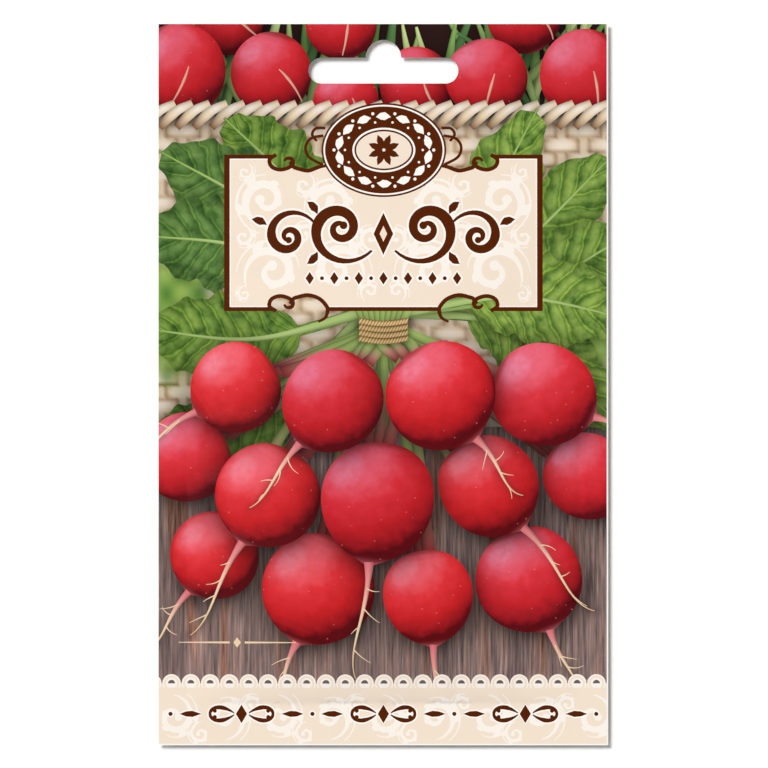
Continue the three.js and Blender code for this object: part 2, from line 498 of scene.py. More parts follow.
def addHeap(art):
    # Blades of green, round radishes with a thread of root, and the basket's slanting rim in front of them
    rim, half, pitch = backdrop["rim"], backdrop["rimHalf"], backdrop["rimStrand"]
    for number in range(backdrop["grass"]):
        blade = curlPath(vary(-halfWidth, halfWidth), rim, vary(55, 125), vary(18, 30), vary(-40, 40), 0, 16)
        tint = backdrop["grassGreens"][number % len(backdrop["grassGreens"])]
        addStrand(art, blade, [(0, 0.6), (0.5, 1.1), (1, 0.3)], tint, (0.8, 0.3))
    for cx, cy, radius in backdrop["heap"]:
        axis = direction(vary(0.2, 0.8) * math.pi)
        outline = ovalOutline(cx, cy, radius, radius * vary(0.95, 1.05))
        outline[:, 1] = np.maximum(outline[:, 1], rim)
        addShape(art, outline, "bulb", "F0E4E6", placeOnDisc(cx, cy, radius * 1.03, axis), (2.6, 0.72))
        root = curlPath(cx + radius * 0.2, cy + radius * 0.1, vary(-110, -20), radius, vary(-60, 60), 0, 16)
        addStrand(art, root, [(0, 0.12), (0.3, 0.32), (1, 0.12)], "DDA08C")
    dark, straw, pale = [backdrop[name] for name in ("strawDark", "straw", "strawPale")]
    strands = int(halfWidth / pitch) + 2
    for number in range(-strands, strands + 1):
        x = number * pitch
        path = smoothPath([(x - 3.4, rim - half), (x, rim + half * 0.3), (x + 3.6, rim + half)], 12)
        addStrand(art, path, [(0, 0.8), (0.4, pitch * 0.3), (1, 0.8)], [dark, straw, pale, straw], (1.0, 0.4))


# The label panel with its brackets, the medallion and the scalloped band along the bottom

label = {
    "halfWidth": 34.0,
    "y": (15.7, 49.1),
    "frameSides": 1.19,
    "frameEnds": 0.85,
    "keyline": 0.25,
    "flourishY": 32.2,
    "flourish": [  # x, rise, radius, start, turn and half width of each spiral
        (9.2, 1.1, 8.2, 215, 640, 1.2), (20.2, -0.6, 6.2, 150, -600, 1.0),
    ],
    "lozengeY": 22.7,  # the row of lozenges under it
    "lozengePitch": 2.62,
    "halo": 0.42,  # pale edge round each brown ornament
    "bracketHook": [(22.9, 0), (24.3, 1.0), (23.9, 2.5), (22.2, 3.2), (20.3, 2.8), (19.3, 1.9)],
    "bracketArc": [(18.2, 3.0), (16.0, 3.4), (13.6, 2.6), (12.1, 1.0), (11.9, 0)],
    "scrolls": [  # x, y, radius, start and turn of each damask scroll
        (10.0, 24.5, 6.4, 215, -470), (23.5, 24.0, 6.6, -30, 470), (25.0, 39.5, 6.2, 250, 470),
        (10.5, 38.5, 5.6, 300, 470), (2.6, 31.5, 3.0, 250, 400), (30.0, 31.5, 2.6, 90, 400),
        (17.0, 31.8, 3.0, 200, -420), (17.0, 42.6, 2.7, 120, 400), (29.6, 45.4, 2.0, 120, 400),
        (2.8, 20.0, 2.4, 300, 400), (29.6, 19.3, 1.8, 90, -400),
    ],
}
medallion = {"x": 0.1, "y": 50.1, "halfWidth": 13.3, "halfHeight": 10.05, "leaflets": 14, "petals": 8}
band = {
    "top": -61.8,
    "pitch": 4.124,
    "radius": 1.98,
    "firstX": -49.36,
    "count": 25,
    "count": 25,
    "ringBottom": 0.9,  # how far below its middle a scallop's rings end
    "eyelet": 0.76,
    "scrollPitch": 11.2,
    "rowY": -70.3,  # the row of small ornaments
    "unit": 30.3,
}
corner = {"x": -31.2, "y": -55, "from": 1.6, "to": 12.5}


def labelOutline(sides, ends):
    # The panel less its frame's width, notched where the brackets curl inwards
    y0, y1 = label["y"]
    right, low, high = label["halfWidth"] - sides, y0 + ends, y1 - ends
    notch = np.vstack([smoothPath(label["bracketHook"], 30), smoothPath(label["bracketArc"], 24)])
    bottom = np.column_stack([notch[:, 0], np.maximum(y0 + notch[:, 1], low)])
    top = np.column_stack([notch[:, 0], np.minimum(y1 - notch[:, 1], high)])
    half = np.vstack([bottom[::-1], [(right, low), (right, high)], top])
    return np.vstack([half, half[::-1] * (-1, 1)])


def addFlourish(art, tint, grow):
    # Two joined scrolls on each side of a lozenge, with leaflets where they meet
    y = label["flourishY"]
    pen = Pen(art, tint, grow, 0)
    for x, rise, outer, start, turn, half in label["flourish"]:
        path = spiralPath(x, y + rise, outer, outer * 0.12, start, turn)
        pen.line(path, [(0, 0.25), (0.25, half), (0.6, half * 0.7), (1, half * 0.36)])
        pen.dot(*path[-1], half * 0.7)
    for x, rise, heading, bend in ((14.1, 4.2, 75, -50), (14.1, -3.8, -75, 50), (24.9, 1.9, 40, -40)):
        pen.leaflet(x, y + rise, heading, 3.5, bend, 1.7)
    Pen(art, tint).lozenge(0, y, 2.1 + grow, 4.5 + 1.6 * grow)


def addLozengeRow(pen):
    # Seven lozenges with a dot between each two
    for step in range(-6, 7):
        x = step * label["lozengePitch"]
        if step % 2:
            pen.dot(x, label["lozengeY"], 0.42)
        else:
            pen.lozenge(x, label["lozengeY"], 0.9, 1.35)


def addBrackets(art):
    # Where the frame breaks, both of its ends curl up, and thin loops lie beside the medallion
    y0, y1 = label["y"]
    hook = label["bracketHook"] + [(19.6, 0.9), (20.6, 0.8), (21.2, 1.4)]
    arc = [(19.9, 1.5), (19.2, 2.6)] + label["bracketArc"]
    pen = Pen(art, "brown", 0, 0)
    for points, up, y in ((hook, 1, y0), (arc + [(12.4, -1.4), (13.9, -2.3)], 1, y0), (hook, -1, y1),
                          (arc[:-2] + [(11, 2.2)], -1, y1)):
        pen.line(smoothPath(points, 60) * (1, up) + (0, y), [(0, 0.42), (0.75, 0.42), (1, 0.25)])
    for points in ([(12.4, 54.8), (14.4, 54.7), (15.2, 53.4), (14.2, 52.0)],
                   [(12.8, 53.2), (15.4, 52.6), (16.6, 50.8), (15.9, 48.6), (12.9, 46.9)]):
        pen.line(smoothPath(points, 30), [(0, 0.3), (1, 0.3)])


def addLabel(art):
    sides, ends, key = label["frameSides"], label["frameEnds"], label["keyline"]
    for tint, outline in (("brown", labelOutline(0, 0)), ("keyline", labelOutline(sides, ends)),
                          ("cream", labelOutline(sides + key, ends + key))):
        Pen(art, tint).flat(outline)
    for scroll in label["scrolls"]:
        Pen(art, "creamPale", 0, 0).scroll(*scroll)
    for tint, grow in (("keyline", label["halo"]), ("brown", 0)):
        addFlourish(art, tint, grow)
        addLozengeRow(Pen(art, tint, grow))
    Pen(art, "cream").lozenge(0, label["flourishY"], 0.8, 1.7)
    addBrackets(art)


def addMedallion(art):
    # A brown oval with a garland round it, and a rosette in a small oval
    x, y, rx, ry = [medallion[name] for name in ("x", "y", "halfWidth", "halfHeight")]
    brown, key, cream = [Pen(art, tint) for tint in ("brown", "keyline", "cream")]
    for inset, pen in ((0, brown), (0.4, key), (0.75, brown)):
        pen.flat(ovalOutline(x, y, rx - inset, ry - inset))
    count = medallion["leaflets"]
    for number in range(count):
        turn = math.tau * (number + 0.5) / count
        along = math.atan2(ry * math.cos(turn), -rx * math.sin(turn))
        start = (x, y) + direction(turn) * (0.715 * rx, 0.7 * ry) - 1.5 * direction(along)
        key.leaflet(*start, math.degrees(along) - 14, 3.2, 28, 1.7)
        for across, up, radius in ((0.8, 0.79, 0.34), (0.625, 0.6, 0.26)):
            key.dot(*(x, y) + direction(turn - math.pi / count) * (across * rx, up * ry), radius)
    for inset, pen in ((0, key), (0.42, brown), (0.8, cream)):
        pen.flat(ovalOutline(x, y, 0.505 * rx - inset, 0.475 * ry - inset))
    for petal in range(medallion["petals"]):
        brown.leaflet(x, y, 360 * (petal + 0.5) / medallion["petals"], 3.5, 0, 1.5)
    brown.dot(x, y, 0.75)
    cream.dot(x, y, 0.35)


def addBandUnit(art, middle, tint, grow):
    # A lozenge between two pairs of curls, then a spindle on each side
    y = band["rowY"]
    pair = Pen(art, tint, grow, middle)
    for up in (1, -1):
        pair.curl(middle + 1.6, y + 0.2 * up, 36 * up, 7.6, -60 * up, -190 * up, 0.95)
    pair.leaflet(middle + 8.6, y, 0, 4.6, 0, 1.3)
    Pen(art, tint, grow).lozenge(middle, y, 1.2, 2.0)


def addBand(art):
    centreY = band["top"] - band["radius"]
    side = halfWidth + 1
    mouths = [band["firstX"] + step * band["pitch"] for step in range(band["count"])]
    pale = Pen(art, "creamPale")
    Pen(art, "cream").box(-side, -halfHeight - 1, side, centreY)
    for x in mouths:
        for radius, tint in ((band["radius"], "creamPale"), (1.68, "cream"), (1.2, "creamPale")):
            ring = ovalOutline(x, centreY, radius, steps=30)
            ring[:, 1] = np.maximum(ring[:, 1], centreY - band["ringBottom"])
            Pen(art, tint).flat(ring)
    for step in range(-4, 5):
        x = step * band["scrollPitch"]
        start, turn, smallY = (270, 450, -68.3) if step % 2 else (90, -450, -74.6)
        pale.scroll(x, -71.0, 4.8, start, turn)
        pale.scroll(x + 5.8, smallY, 2.6, start, -turn)
    for x in mouths:
        eyelet = ovalOutline(x, centreY, band["eyelet"], steps=20)
        Pen(art, "eyelet").flat(eyelet[eyelet[:, 1] >= centreY - 0.01])
    for tint, grow in (("keyline", 0.3), ("brown", 0)):
        for group in (-1, 0, 1):
            addBandUnit(art, group * band["unit"], tint, grow)
        for place in (-1.5, -0.5, 0.5, 1.5):
            Pen(art, tint, grow).dot(place * band["unit"], band["rowY"], 0.45)


def addCorner(art):
    # A slim pale rule with a lozenge, low on the left of the picture
    x, y = corner["x"], corner["y"]
    pen = Pen(art, "rootPale")
    for side in (1, -1):
        path = smoothPath([(x + side * corner["from"], y), (x + side * corner["to"], y)], 20)
        pen.line(path, [(0, 0.22), (1, 0.08)])
    pen.lozenge(x, y, 0.8, 1.1)


def frontArtwork():
    art = []
    board = boxOutline(-halfWidth - 2, -halfHeight, halfWidth + 2, backdrop["boardTop"])
    addShape(art, board, "board", "board")
    addHeap(art)
    for number, leaf in enumerate(bunch["leaves"]):
        addLeaf(art, *leaf, bunch["leafGreens"][number % len(bunch["leafGreens"])])
    for cx, cy, radius in sum(bunch["rows"], []):
        towards = bunch["tie"] - (cx, cy)
        addStems(art, (cx, cy) + towards / np.linalg.norm(towards) * radius * 0.9, radius)
    for bulb in sum(bunch["rows"], []):
        addBulb(art, *bulb)
    for addPart in (addTie, addCorner, addLabel, addMedallion, addBand):
        addPart(art)
    # The print stops short of the cut on the right and along the bottom
    margin = 0.32
    bare = Pen(art, "barePaper")
    bare.box(halfWidth - margin, -halfHeight - 1, halfWidth + 1, halfHeight + 1)
    bare.box(-halfWidth - 1, -halfHeight - 1, halfWidth + 1, margin - halfHeight)
    return art


# The back: cream damask with a framed panel, two rows of month boxes and three plain signs

back = {
    "panel": (-36, -52, 36, 44),
    "months": 12,
    "sowing": (1, 2, 3, 6, 7),
    "lifting": (3, 4, 5, 8, 9),
    "boxWidth": 5.0,
    "scrollPitch": 15.5,
    "curlsY": 34,
    "monthsY": 14,
    "monthRow": 7,
    "signs": (20, -10),  # how far apart the signs lie, and their height
    "lines": 5,
    "linesY": -24,
    "linePitch": 3.4,
    "patch": (8, -49, 32, -41.5),  # bare paper in the panel's corner
    "green": "6C9A40",
    "red": "B3242C",
    "sun": "E0A23A",
    "water": "5B93B8",
}


def addBackDamask(art):
    # Mirrored pairs of scrolls round the panel, in rows that alternate
    y0, x1, y1 = back["panel"][1:]
    pitch, overlap = back["scrollPitch"], 3
    for row in range(-5, 6):
        for column in range(4):
            x = pitch * (column + 0.5 - 0.5 * (row % 2))
            y = pitch * 0.95 * row
            inPanel = x < x1 - overlap and y0 + overlap < y < y1 - overlap
            if not inPanel and x > 1:
                turn = 450 if (row + column) % 2 else -450
                Pen(art, "creamPale", 0, 0).scroll(x, y, pitch * 0.42, 90 * row, turn)


def addMonths(art):
    width, height, gap = back["boxWidth"], 4.5, 0.4
    for row, (months, tint) in enumerate(((back["sowing"], back["green"]), (back["lifting"], back["red"]))):
        for month in range(back["months"]):
            x = (month - back["months"] / 2) * width
            y = back["monthsY"] - row * back["monthRow"]
            Pen(art, "brown").box(x, y, x + width - gap, y + height)
            fill = Pen(art, tint if month in months else "creamPale")
            fill.box(x + 0.3, y + 0.3, x + width - gap - 0.3, y + height - 0.3)


def addSigns(art):
    # A sun, a drop and a sprout, each on a ringed disc
    signX, y = back["signs"]
    brown, key, sun, water, green = [
        Pen(art, tint) for tint in ("brown", "keyline", back["sun"], back["water"], back["green"])]
    for x in (-signX, 0, signX):
        brown.dot(x, y, 7)
        key.dot(x, y, 6.4)
    for ray in range(12):
        brown.line(curlPath(-signX, y, ray * 30, 5.2, 0, 0, 6), [(0, 0.3), (1, 0.3)])
    key.dot(-signX, y, 3.6)
    sun.dot(-signX, y, 2.8)
    drop = curlPath(0, y + 5, 270, 9, 0, 0, 20)
    water.line(drop, [(0, 0.05), (0.3, 1.2), (0.68, 2.5), (0.88, 2.0), (1, 0.1)])
    for side in (1, -1):
        green.leaflet(signX, y, 90 - side * 35, 5, side * -30, 2.6)
    green.box(signX - 0.2, y - 4.5, signX + 0.2, y + 0.5)


def backArtwork():
    art = []
    addBackDamask(art)
    x0, y0, x1, y1 = back["panel"]
    for inset, tint in ((0, "brown"), (1.0, "keyline"), (1.3, "creamPale")):
        Pen(art, tint).box(x0 + inset, y0 + inset, x1 - inset, y1 - inset)
    for up in (1, -1):
        Pen(art, "brown", 0, 0).curl(1.4, back["curlsY"] + 0.5 * up, 35 * up, 22, -68 * up, -340 * up, 1.7)
    Pen(art, "brown").lozenge(0, back["curlsY"], 1.5, 2.6)
    addMonths(art)
    addSigns(art)
    for line in range(back["lines"]):
        y = back["linesY"] - line * back["linePitch"]
        Pen(art, "eyelet").box(-28, y, 28, y + 0.25)
    Pen(art, "barePaper").box(*back["patch"])
    return art


def paintBack(points):
    return np.tile(linear(inkColours["cream"]), (len(points), 1))


# The form of the paper

def smoothRise(x, low, high):
    t = np.clip((x - low) / (high - low), 0, 1)
    return t * t * (3 - 2 * t)


def frontSwell(x, y):
    along = np.clip((y - pouchBottom) / (pouchTop - pouchBottom), 0, 1)
    across = np.clip(np.abs(x) / pouchHalfWidth, 0, 1)
    return (1 - across ** packet["acrossPower"]) * np.sin(math.pi * along ** packet["fullestPower"])


def backSwell(x, y):
    fromSide = smoothRise(pouchHalfWidth - np.abs(x), 0, packet["rampSides"])
    fromBottom = smoothRise(y - pouchBottom, 0, packet["rampSides"])
    return fromSide * fromBottom * smoothRise(pouchTop - y, 0, packet["rampTop"])


def creases(x, y, phase):
    # Shallow waves that run in from the seals and die away over the pouch
    fromSide = np.clip(pouchHalfWidth - np.abs(x), 0, None)
    fromEnds = np.clip(np.minimum(y - pouchBottom, pouchTop - y), 0, None)
    sideReach, endReach = packet["creaseReach"]
    nearSide, nearEnd = [gap * np.exp(1 - gap) for gap in (fromSide / sideReach, fromEnds / endReach)]
    side = np.sign(x)
    alongSide = 0.6 * np.sin(y * 0.47 + phase + side) + 0.4 * np.sin(y * 0.93 + 2 * phase - side)
    alongEnd = 0.6 * np.sin(x * 0.53 + phase) + 0.4 * np.sin(x * 0.97 + 3 * phase + y * 0.1)
    inPouch = (fromSide > 0) & (fromEnds > 0)
    return packet["creaseHeight"] * inPouch * (nearSide * alongSide + nearEnd * alongEnd)


seed = {
    "pitch": 3.0,
    "clearance": 1.4,  # from a seed's middle to the edge of the bed
    "halfSize": (1.45, 1.3, 1.25),
    "bumpReach": 3.2,
    "aboveBack": 0.02,  # from the back web's inner face to the bed
}


def seedPlaces():
    places = []
    pitch = seed["pitch"]
    reachX, reachY = (bedHigh[:2] - bedLow[:2]) / 2 - seed["clearance"]
    middle = (bedHigh + bedLow) / 2
    for row in range(-9, 10):
        for column in range(-10, 11):
            x = pitch * (column + (row % 2) / 2)
            y = pitch * 0.866 * row
            if math.hypot(x / reachX, y / reachY) <= 1:
                places.append((middle[0] + x, middle[1] + y))
    return np.array(places) + vary(-0.2, 0.2, (len(places), 2))


seedSpots = seedPlaces()


def seedBumps(x, y):
    bumps = np.zeros_like(x)
    for sx, sy in seedSpots:
        near = (np.abs(x - sx) < seed["bumpReach"]) & (np.abs(y - sy) < seed["bumpReach"])
        reach = (x[near] - sx) ** 2 + (y[near] - sy) ** 2
        bumps[near] += np.exp(-reach / 1.7)
    return bumps * packet["seedShow"]


def frontInner(x, y):
    # The form itself, then creases and seed that fade in from the seals
    room = frontHigh[2] - sealPlane - packet["paperThickness"]
    swell = frontSwell(x, y)
    detail = creases(x, y, 0.7) + seedBumps(x, y) - packet["allowance"]
    return sealPlane + np.maximum(0, room * packet["swellShare"] * swell + detail * np.minimum(1, swell * 3))


def frontOuter(x, y):
    return frontInner(x, y) + packet["paperThickness"]


def backOuter(x, y):
    return (sealPlane - packet["paperThickness"]) * (1 - backSwell(x, y))


def backInner(x, y):
    return backOuter(x, y) + packet["paperThickness"]


def slotOutline():
    endRadius = slot["height"] / 2
    middleY = halfHeight - slot["bottomFromTop"] + endRadius
    endX = slot["width"] / 2 - endRadius
    halfTurn = np.linspace(0, math.pi, 26)
    return np.vstack([
        onOval(endX, middleY, endRadius, endRadius, halfTurn - math.pi / 2),
        onOval(0, middleY + endRadius, slot["humpRadius"], slot["humpRadius"], halfTurn),
        onOval(-endX, middleY, endRadius, endRadius, halfTurn + math.pi / 2),
    ])


# Sheets as closed meshes

def fillSheet(points, edges, mergeWithin):
    # Triangles over the sheet but its slot, with the given edges kept, and the points behind each vertex
    found = delaunay_2d_cdt([Vector(point) for point in points], edges, [], 0, mergeWithin, True)
    vertices = np.array([tuple(vertex) for vertex in found[0]])
    limits = np.copysign((halfWidth, halfHeight), vertices)
    vertices = np.where(np.abs(vertices - limits) < 2 * packet["merge"], limits, vertices)
    triangles = np.array(found[2])
    centres = vertices[triangles].mean(axis=1)
    onPaper = (np.abs(centres) < (halfWidth, halfHeight)).all(axis=1) & ~isInside(slotOutline(), centres)
    used, triangles = np.unique(triangles[onPaper], return_inverse=True)
    return vertices[used], triangles.reshape(-1, 3), [found[3][number] for number in used]


def gridPoints(spacing):
    across, along = [np.linspace(-half, half, int(2 * half / spacing) + 1)[1:-1]
                     for half in (halfWidth, halfHeight)]
    return np.array([(x, y) for x in across for y in along])


def fillPrinted(outlines, spacing):
    # Every outline becomes edges of the mesh, and a grid of points fills what lies between
    points, edges = [], []
    for outline in outlines:
        first = len(points)
        count = len(outline)
        points.extend(outline)
        edges.extend((first + i, first + (i + 1) % count) for i in range(count))
    cell = spacing / 2
    taken = set(map(tuple, np.rint(np.array(points) / cell)))
    grid = gridPoints(spacing)
    points.extend(spot for spot, place in zip(grid, np.rint(grid / cell)) if tuple(place) not in taken)
    return fillSheet(points, edges, packet["merge"])[:2]


def fillPlain(rim, rimEdges):
    # The plain side shares the printed side's rim and has a wider grid. Maps each rim point to its vertex.
    grid = gridPoints(packet["plainSpacing"])
    clear = nearestOn(rim, grid)[1] > packet["plainSpacing"] / 6
    vertices, triangles, sources = fillSheet(np.vstack([rim, grid[clear]]), rimEdges.tolist(), 1e-6)
    vertexOf = {source: number for number, found in enumerate(sources)
                for source in found if source < len(rim)}
    return vertices, triangles, vertexOf


def edgeLoops(triangles):
    # Directed edges that only one triangle has
    edges = np.vstack([triangles[:, pair] for pair in ([0, 1], [1, 2], [2, 0])])
    known = {tuple(edge) for edge in edges}
    return np.array([edge for edge in edges if (edge[1], edge[0]) not in known])


def denseOutline(outline, step):
    parts = []
    for a, b in zip(outline, np.roll(outline, -1, axis=0)):
        count = max(1, int(np.linalg.norm(b - a) / step))
        parts.append(a + (b - a) * (np.arange(count) / count)[:, None])
    return np.vstack(parts)


def inkSheet(art, paint, vertices, triangles):
    # Each triangle takes the topmost shape over it; its corners take place, tint and shade
    centres = vertices[triangles].mean(axis=1)
    owner = np.full(len(triangles), -1)
    for number, shape in enumerate(art):
        owner[isInside(shape["outline"], centres)] = number
    corners = vertices[triangles].reshape(-1, 2)
    place = np.zeros((len(corners), 3))
    tint = paint(corners)
    shade = np.ones(len(corners))
    light = np.ones(len(vertices))
    cornerOwner = np.repeat(owner, 3)
    cornerVertices = triangles.ravel()

    # Downwards from the topmost shape, so that each is shaded by those above it
    for number in range(len(art) - 1, -1, -1):
        shape = art[number]
        mine = np.flatnonzero(cornerOwner == number)
        if len(mine):
            if shape["place"]:
                place[mine] = shape["place"](corners[mine])
            stops = np.linspace(0, 1, len(shape["tints"]))
            channels = [np.interp(place[mine, 0], stops, channel) for channel in shape["tints"].T]
            tint[mine] = np.column_stack(channels)
            shade[mine] = light[cornerVertices[mine]]
        if shape["shadow"]:
            reach, depth = shape["shadow"]
            outline = shape["outline"]
            margin = reach * 2.6
            near = np.flatnonzero(((vertices > outline.min(axis=0) - margin)
                                   & (vertices < outline.max(axis=0) + margin)).all(axis=1))
            gap = nearestOn(outline, vertices[near])[1]
            # Deeper below the shape and to its right, away from the picture's light
            away = vertices[near] - outline.mean(axis=0)
            below = away @ (0.35, -0.94) / (np.linalg.norm(away, axis=1) + 1e-6)
            light[near] *= 1 - depth * (0.72 + 0.28 * below) * np.exp(-(gap / reach) ** 1.3)
    rest = cornerOwner < 0
    shade[rest] = light[cornerVertices[rest]]
    return owner, place, tint, shade


def setFormNormals(mesh, vertices, triangles, height, side):
    # The printed face takes its normals from the form, whatever the shapes of its triangles
    x, y = vertices.T
    step = packet["slopeStep"]
    slopeX = (height(x + step, y) - height(x - step, y)) / (2 * step)
    slopeY = (height(x, y + step) - height(x, y - step)) / (2 * step)
    formNormals = np.column_stack([-slopeX, -slopeY, np.ones(len(x))]) * side
    formNormals /= np.linalg.norm(formNormals, axis=1)[:, None]
    normals = np.zeros((len(mesh.loops), 3), np.float32)
    mesh.corner_normals.foreach_get("vector", normals.ravel())
    normals[:triangles.size] = formNormals[triangles.ravel()]
    mesh.normals_split_custom_set(normals.tolist())


def buildWeb(name, art, paint, printedHeight, plainHeight, side, materials):
    # The printed face first, then the plain one, then the cut edge. Side is 1 where the print faces up.
    border = denseOutline(boxOutline(-halfWidth, -halfHeight, halfWidth, halfHeight), packet["drawSpacing"])
    drawn = [denseOutline(shape["outline"], packet["edgeSpacing"]) for shape in art]
    top, printed = fillPrinted([border, slotOutline(), *drawn], packet["drawSpacing"])
    printed = printed[:, ::side]
    owner, place, tint, shade = inkSheet(art, paint, top, printed)
    rim = edgeLoops(printed)
    rimPoints, rimEdges = np.unique(rim, return_inverse=True)
    low, plain, vertexOf = fillPlain(top[rimPoints], rimEdges.reshape(-1, 2))
    lowIndex = {point: vertexOf[number] + len(top) for number, point in enumerate(rimPoints)}
    cut = [(b, a, lowIndex[a], lowIndex[b]) for a, b in rim]
    points = np.vstack([
        np.column_stack([top, printedHeight(*top.T)]),
        np.column_stack([low, plainHeight(*low.T)]),
    ]) * mm
    mesh = bpy.data.meshes.new(name)
    mesh.from_pydata(points.tolist(), [], [*printed.tolist(), *(plain[:, ::-side] + len(top)).tolist(), *cut])

    inks = [art[number]["ink"] if number >= 0 else "flat" for number in owner]
    inks += ["paper"] * (len(mesh.polygons) - len(inks))
    for material in materials.values():
        mesh.materials.append(material)
    slots = {ink: number for number, ink in enumerate(materials)}
    mesh.polygons.foreach_set("material_index", [slots[ink] for ink in inks])
    mesh.polygons.foreach_set("use_smooth", [True] * (len(printed) + len(plain)) + [False] * len(cut))
    opaque = np.column_stack([tint, np.ones(len(tint))])
    for field, kind, member, values in (("place", "FLOAT_VECTOR", "vector", place),
                                        ("tint", "FLOAT_COLOR", "color", opaque),
                                        ("shade", "FLOAT", "value", shade[:, None])):
        whole = np.ones((len(mesh.loops), values.shape[1]), np.float32)
        whole[:len(values)] = values
        mesh.attributes.new(field, kind, "CORNER").data.foreach_set(member, whole.ravel())
    mesh.update()
    setFormNormals(mesh, top, printed, printedHeight, side)
    print(name, len(mesh.vertices), "vertices", len(mesh.polygons), "faces", mesh.validate(verbose=False))
    return addObject(name, mesh)


# Finishes

finish = {
    "smoothest": 0.13,  # roughness of the varnish, and where it is dullest
    "dullest": 0.19,
    "index": 1.5,  # of varnish, paper and seed coat
    "fibreSize": 0.35,  # mm, the size of the coat's faint unevenness
    "fibreDepth": 0.006,
    "cloudSize": 5.0,  # mm of the faint clouds in a solid tint
    "grainWidth": 0.55,  # mm between the printed board's grain lines
    "mottleSize": 2.4,  # mm of a patch of radish skin, and of its broken sheen
    "sheenSize": 1.3,
    "poreSpacing": 1.7,
    "leafWave": 5.0,
    "leafCrinkle": 2.6,
    "leafVeins": 14,
    "coreFibre": 0.25,
    "coreDepth": 0.02,
    "seedPatch": 2.6,
    "pitSpacing": 0.22,
    "pitDepth": 0.05,
}


def perMetre(size):
    return 1 / (finish[size] * mm)


def startMaterial(name):
    # The material, a function that adds nodes to it, and the place on the piece in metres
    material = bpy.data.materials.new(name)
    material.use_nodes = True
    material.node_tree.nodes.clear()
    add = partial(addNode, material.node_tree)
    return material, add, add("TexCoord").outputs["Object"]


def coat(add, colour, roughness, relief, strength, depth):
    bump = add("Bump", {"Height": relief, "Strength": strength, "Distance": depth * mm})
    shader = add("BsdfPrincipled", {"Base Color": colour, "Roughness": roughness, "Normal": bump,
                                    "IOR": finish["index"]})
    add("OutputMaterial", [shader])


def printMaterial(name, ink):
    # Offset print under a thin gloss varnish: clean colour with a soft, slightly uneven shine.
    # Each ink gives the factors that its tint is multiplied by.
    material, add, spot = startMaterial(name)
    colour, shade, place = [add("Attribute", attribute_name=field).outputs[output]
                            for field, output in (("tint", "Color"), ("shade", "Fac"), ("place", "Vector"))]
    inShape = add("SeparateXYZ", [place]).outputs
    for factor in (shade, *ink(add, spot, inShape)):
        pair = {0: 1.0, 6: colour, 7: factor}
        colour = add("Mix", pair, data_type="RGBA", blend_type="MULTIPLY").outputs[2]
    fibre = add("TexNoise", {"Vector": spot, "Scale": perMetre("fibreSize")})
    rough = add("MapRange", [fibre, 0.3, 0.7, finish["smoothest"], finish["dullest"]])
    coat(add, colour, rough, fibre, 0.5, finish["fibreDepth"])
    return material


def flatInk(add, spot, inShape):
    # A solid tint with the faint cloudiness of a printed area
    cloud = add("TexNoise", {"Vector": spot, "Scale": perMetre("cloudSize")})
    return [add("MapRange", [cloud, 0.25, 0.75, 0.985])]


def boardInk(add, spot, inShape):
    # Dark stained wood in the picture: fine upright grain lines, and broad reddish streaks
    factors = []
    perGrain = perMetre("grainWidth")
    for width, length, detail, stops in (
        (1, 22, 5.0, [(0.3, "7C7372"), (0.45, "B8B0AE"), (0.56, "DCCAC0"), (0.7, "FFFFFF")]),
        (7, 90, 2.0, [(0.35, "D8D8DC"), (0.55, "FFFFFF"), (0.7, "FFDCC8")]),
    ):
        drawn = add("Mapping", {"Vector": spot, "Scale": (perGrain / width, perGrain / length, 1.0)})
        grain = add("TexNoise", {"Vector": drawn, "Scale": 1.0, "Detail": detail, "Roughness": 0.6,
                                 "Distortion": 0.4})
        factors.append(add("ValToRGB", [grain], stops))
    return factors


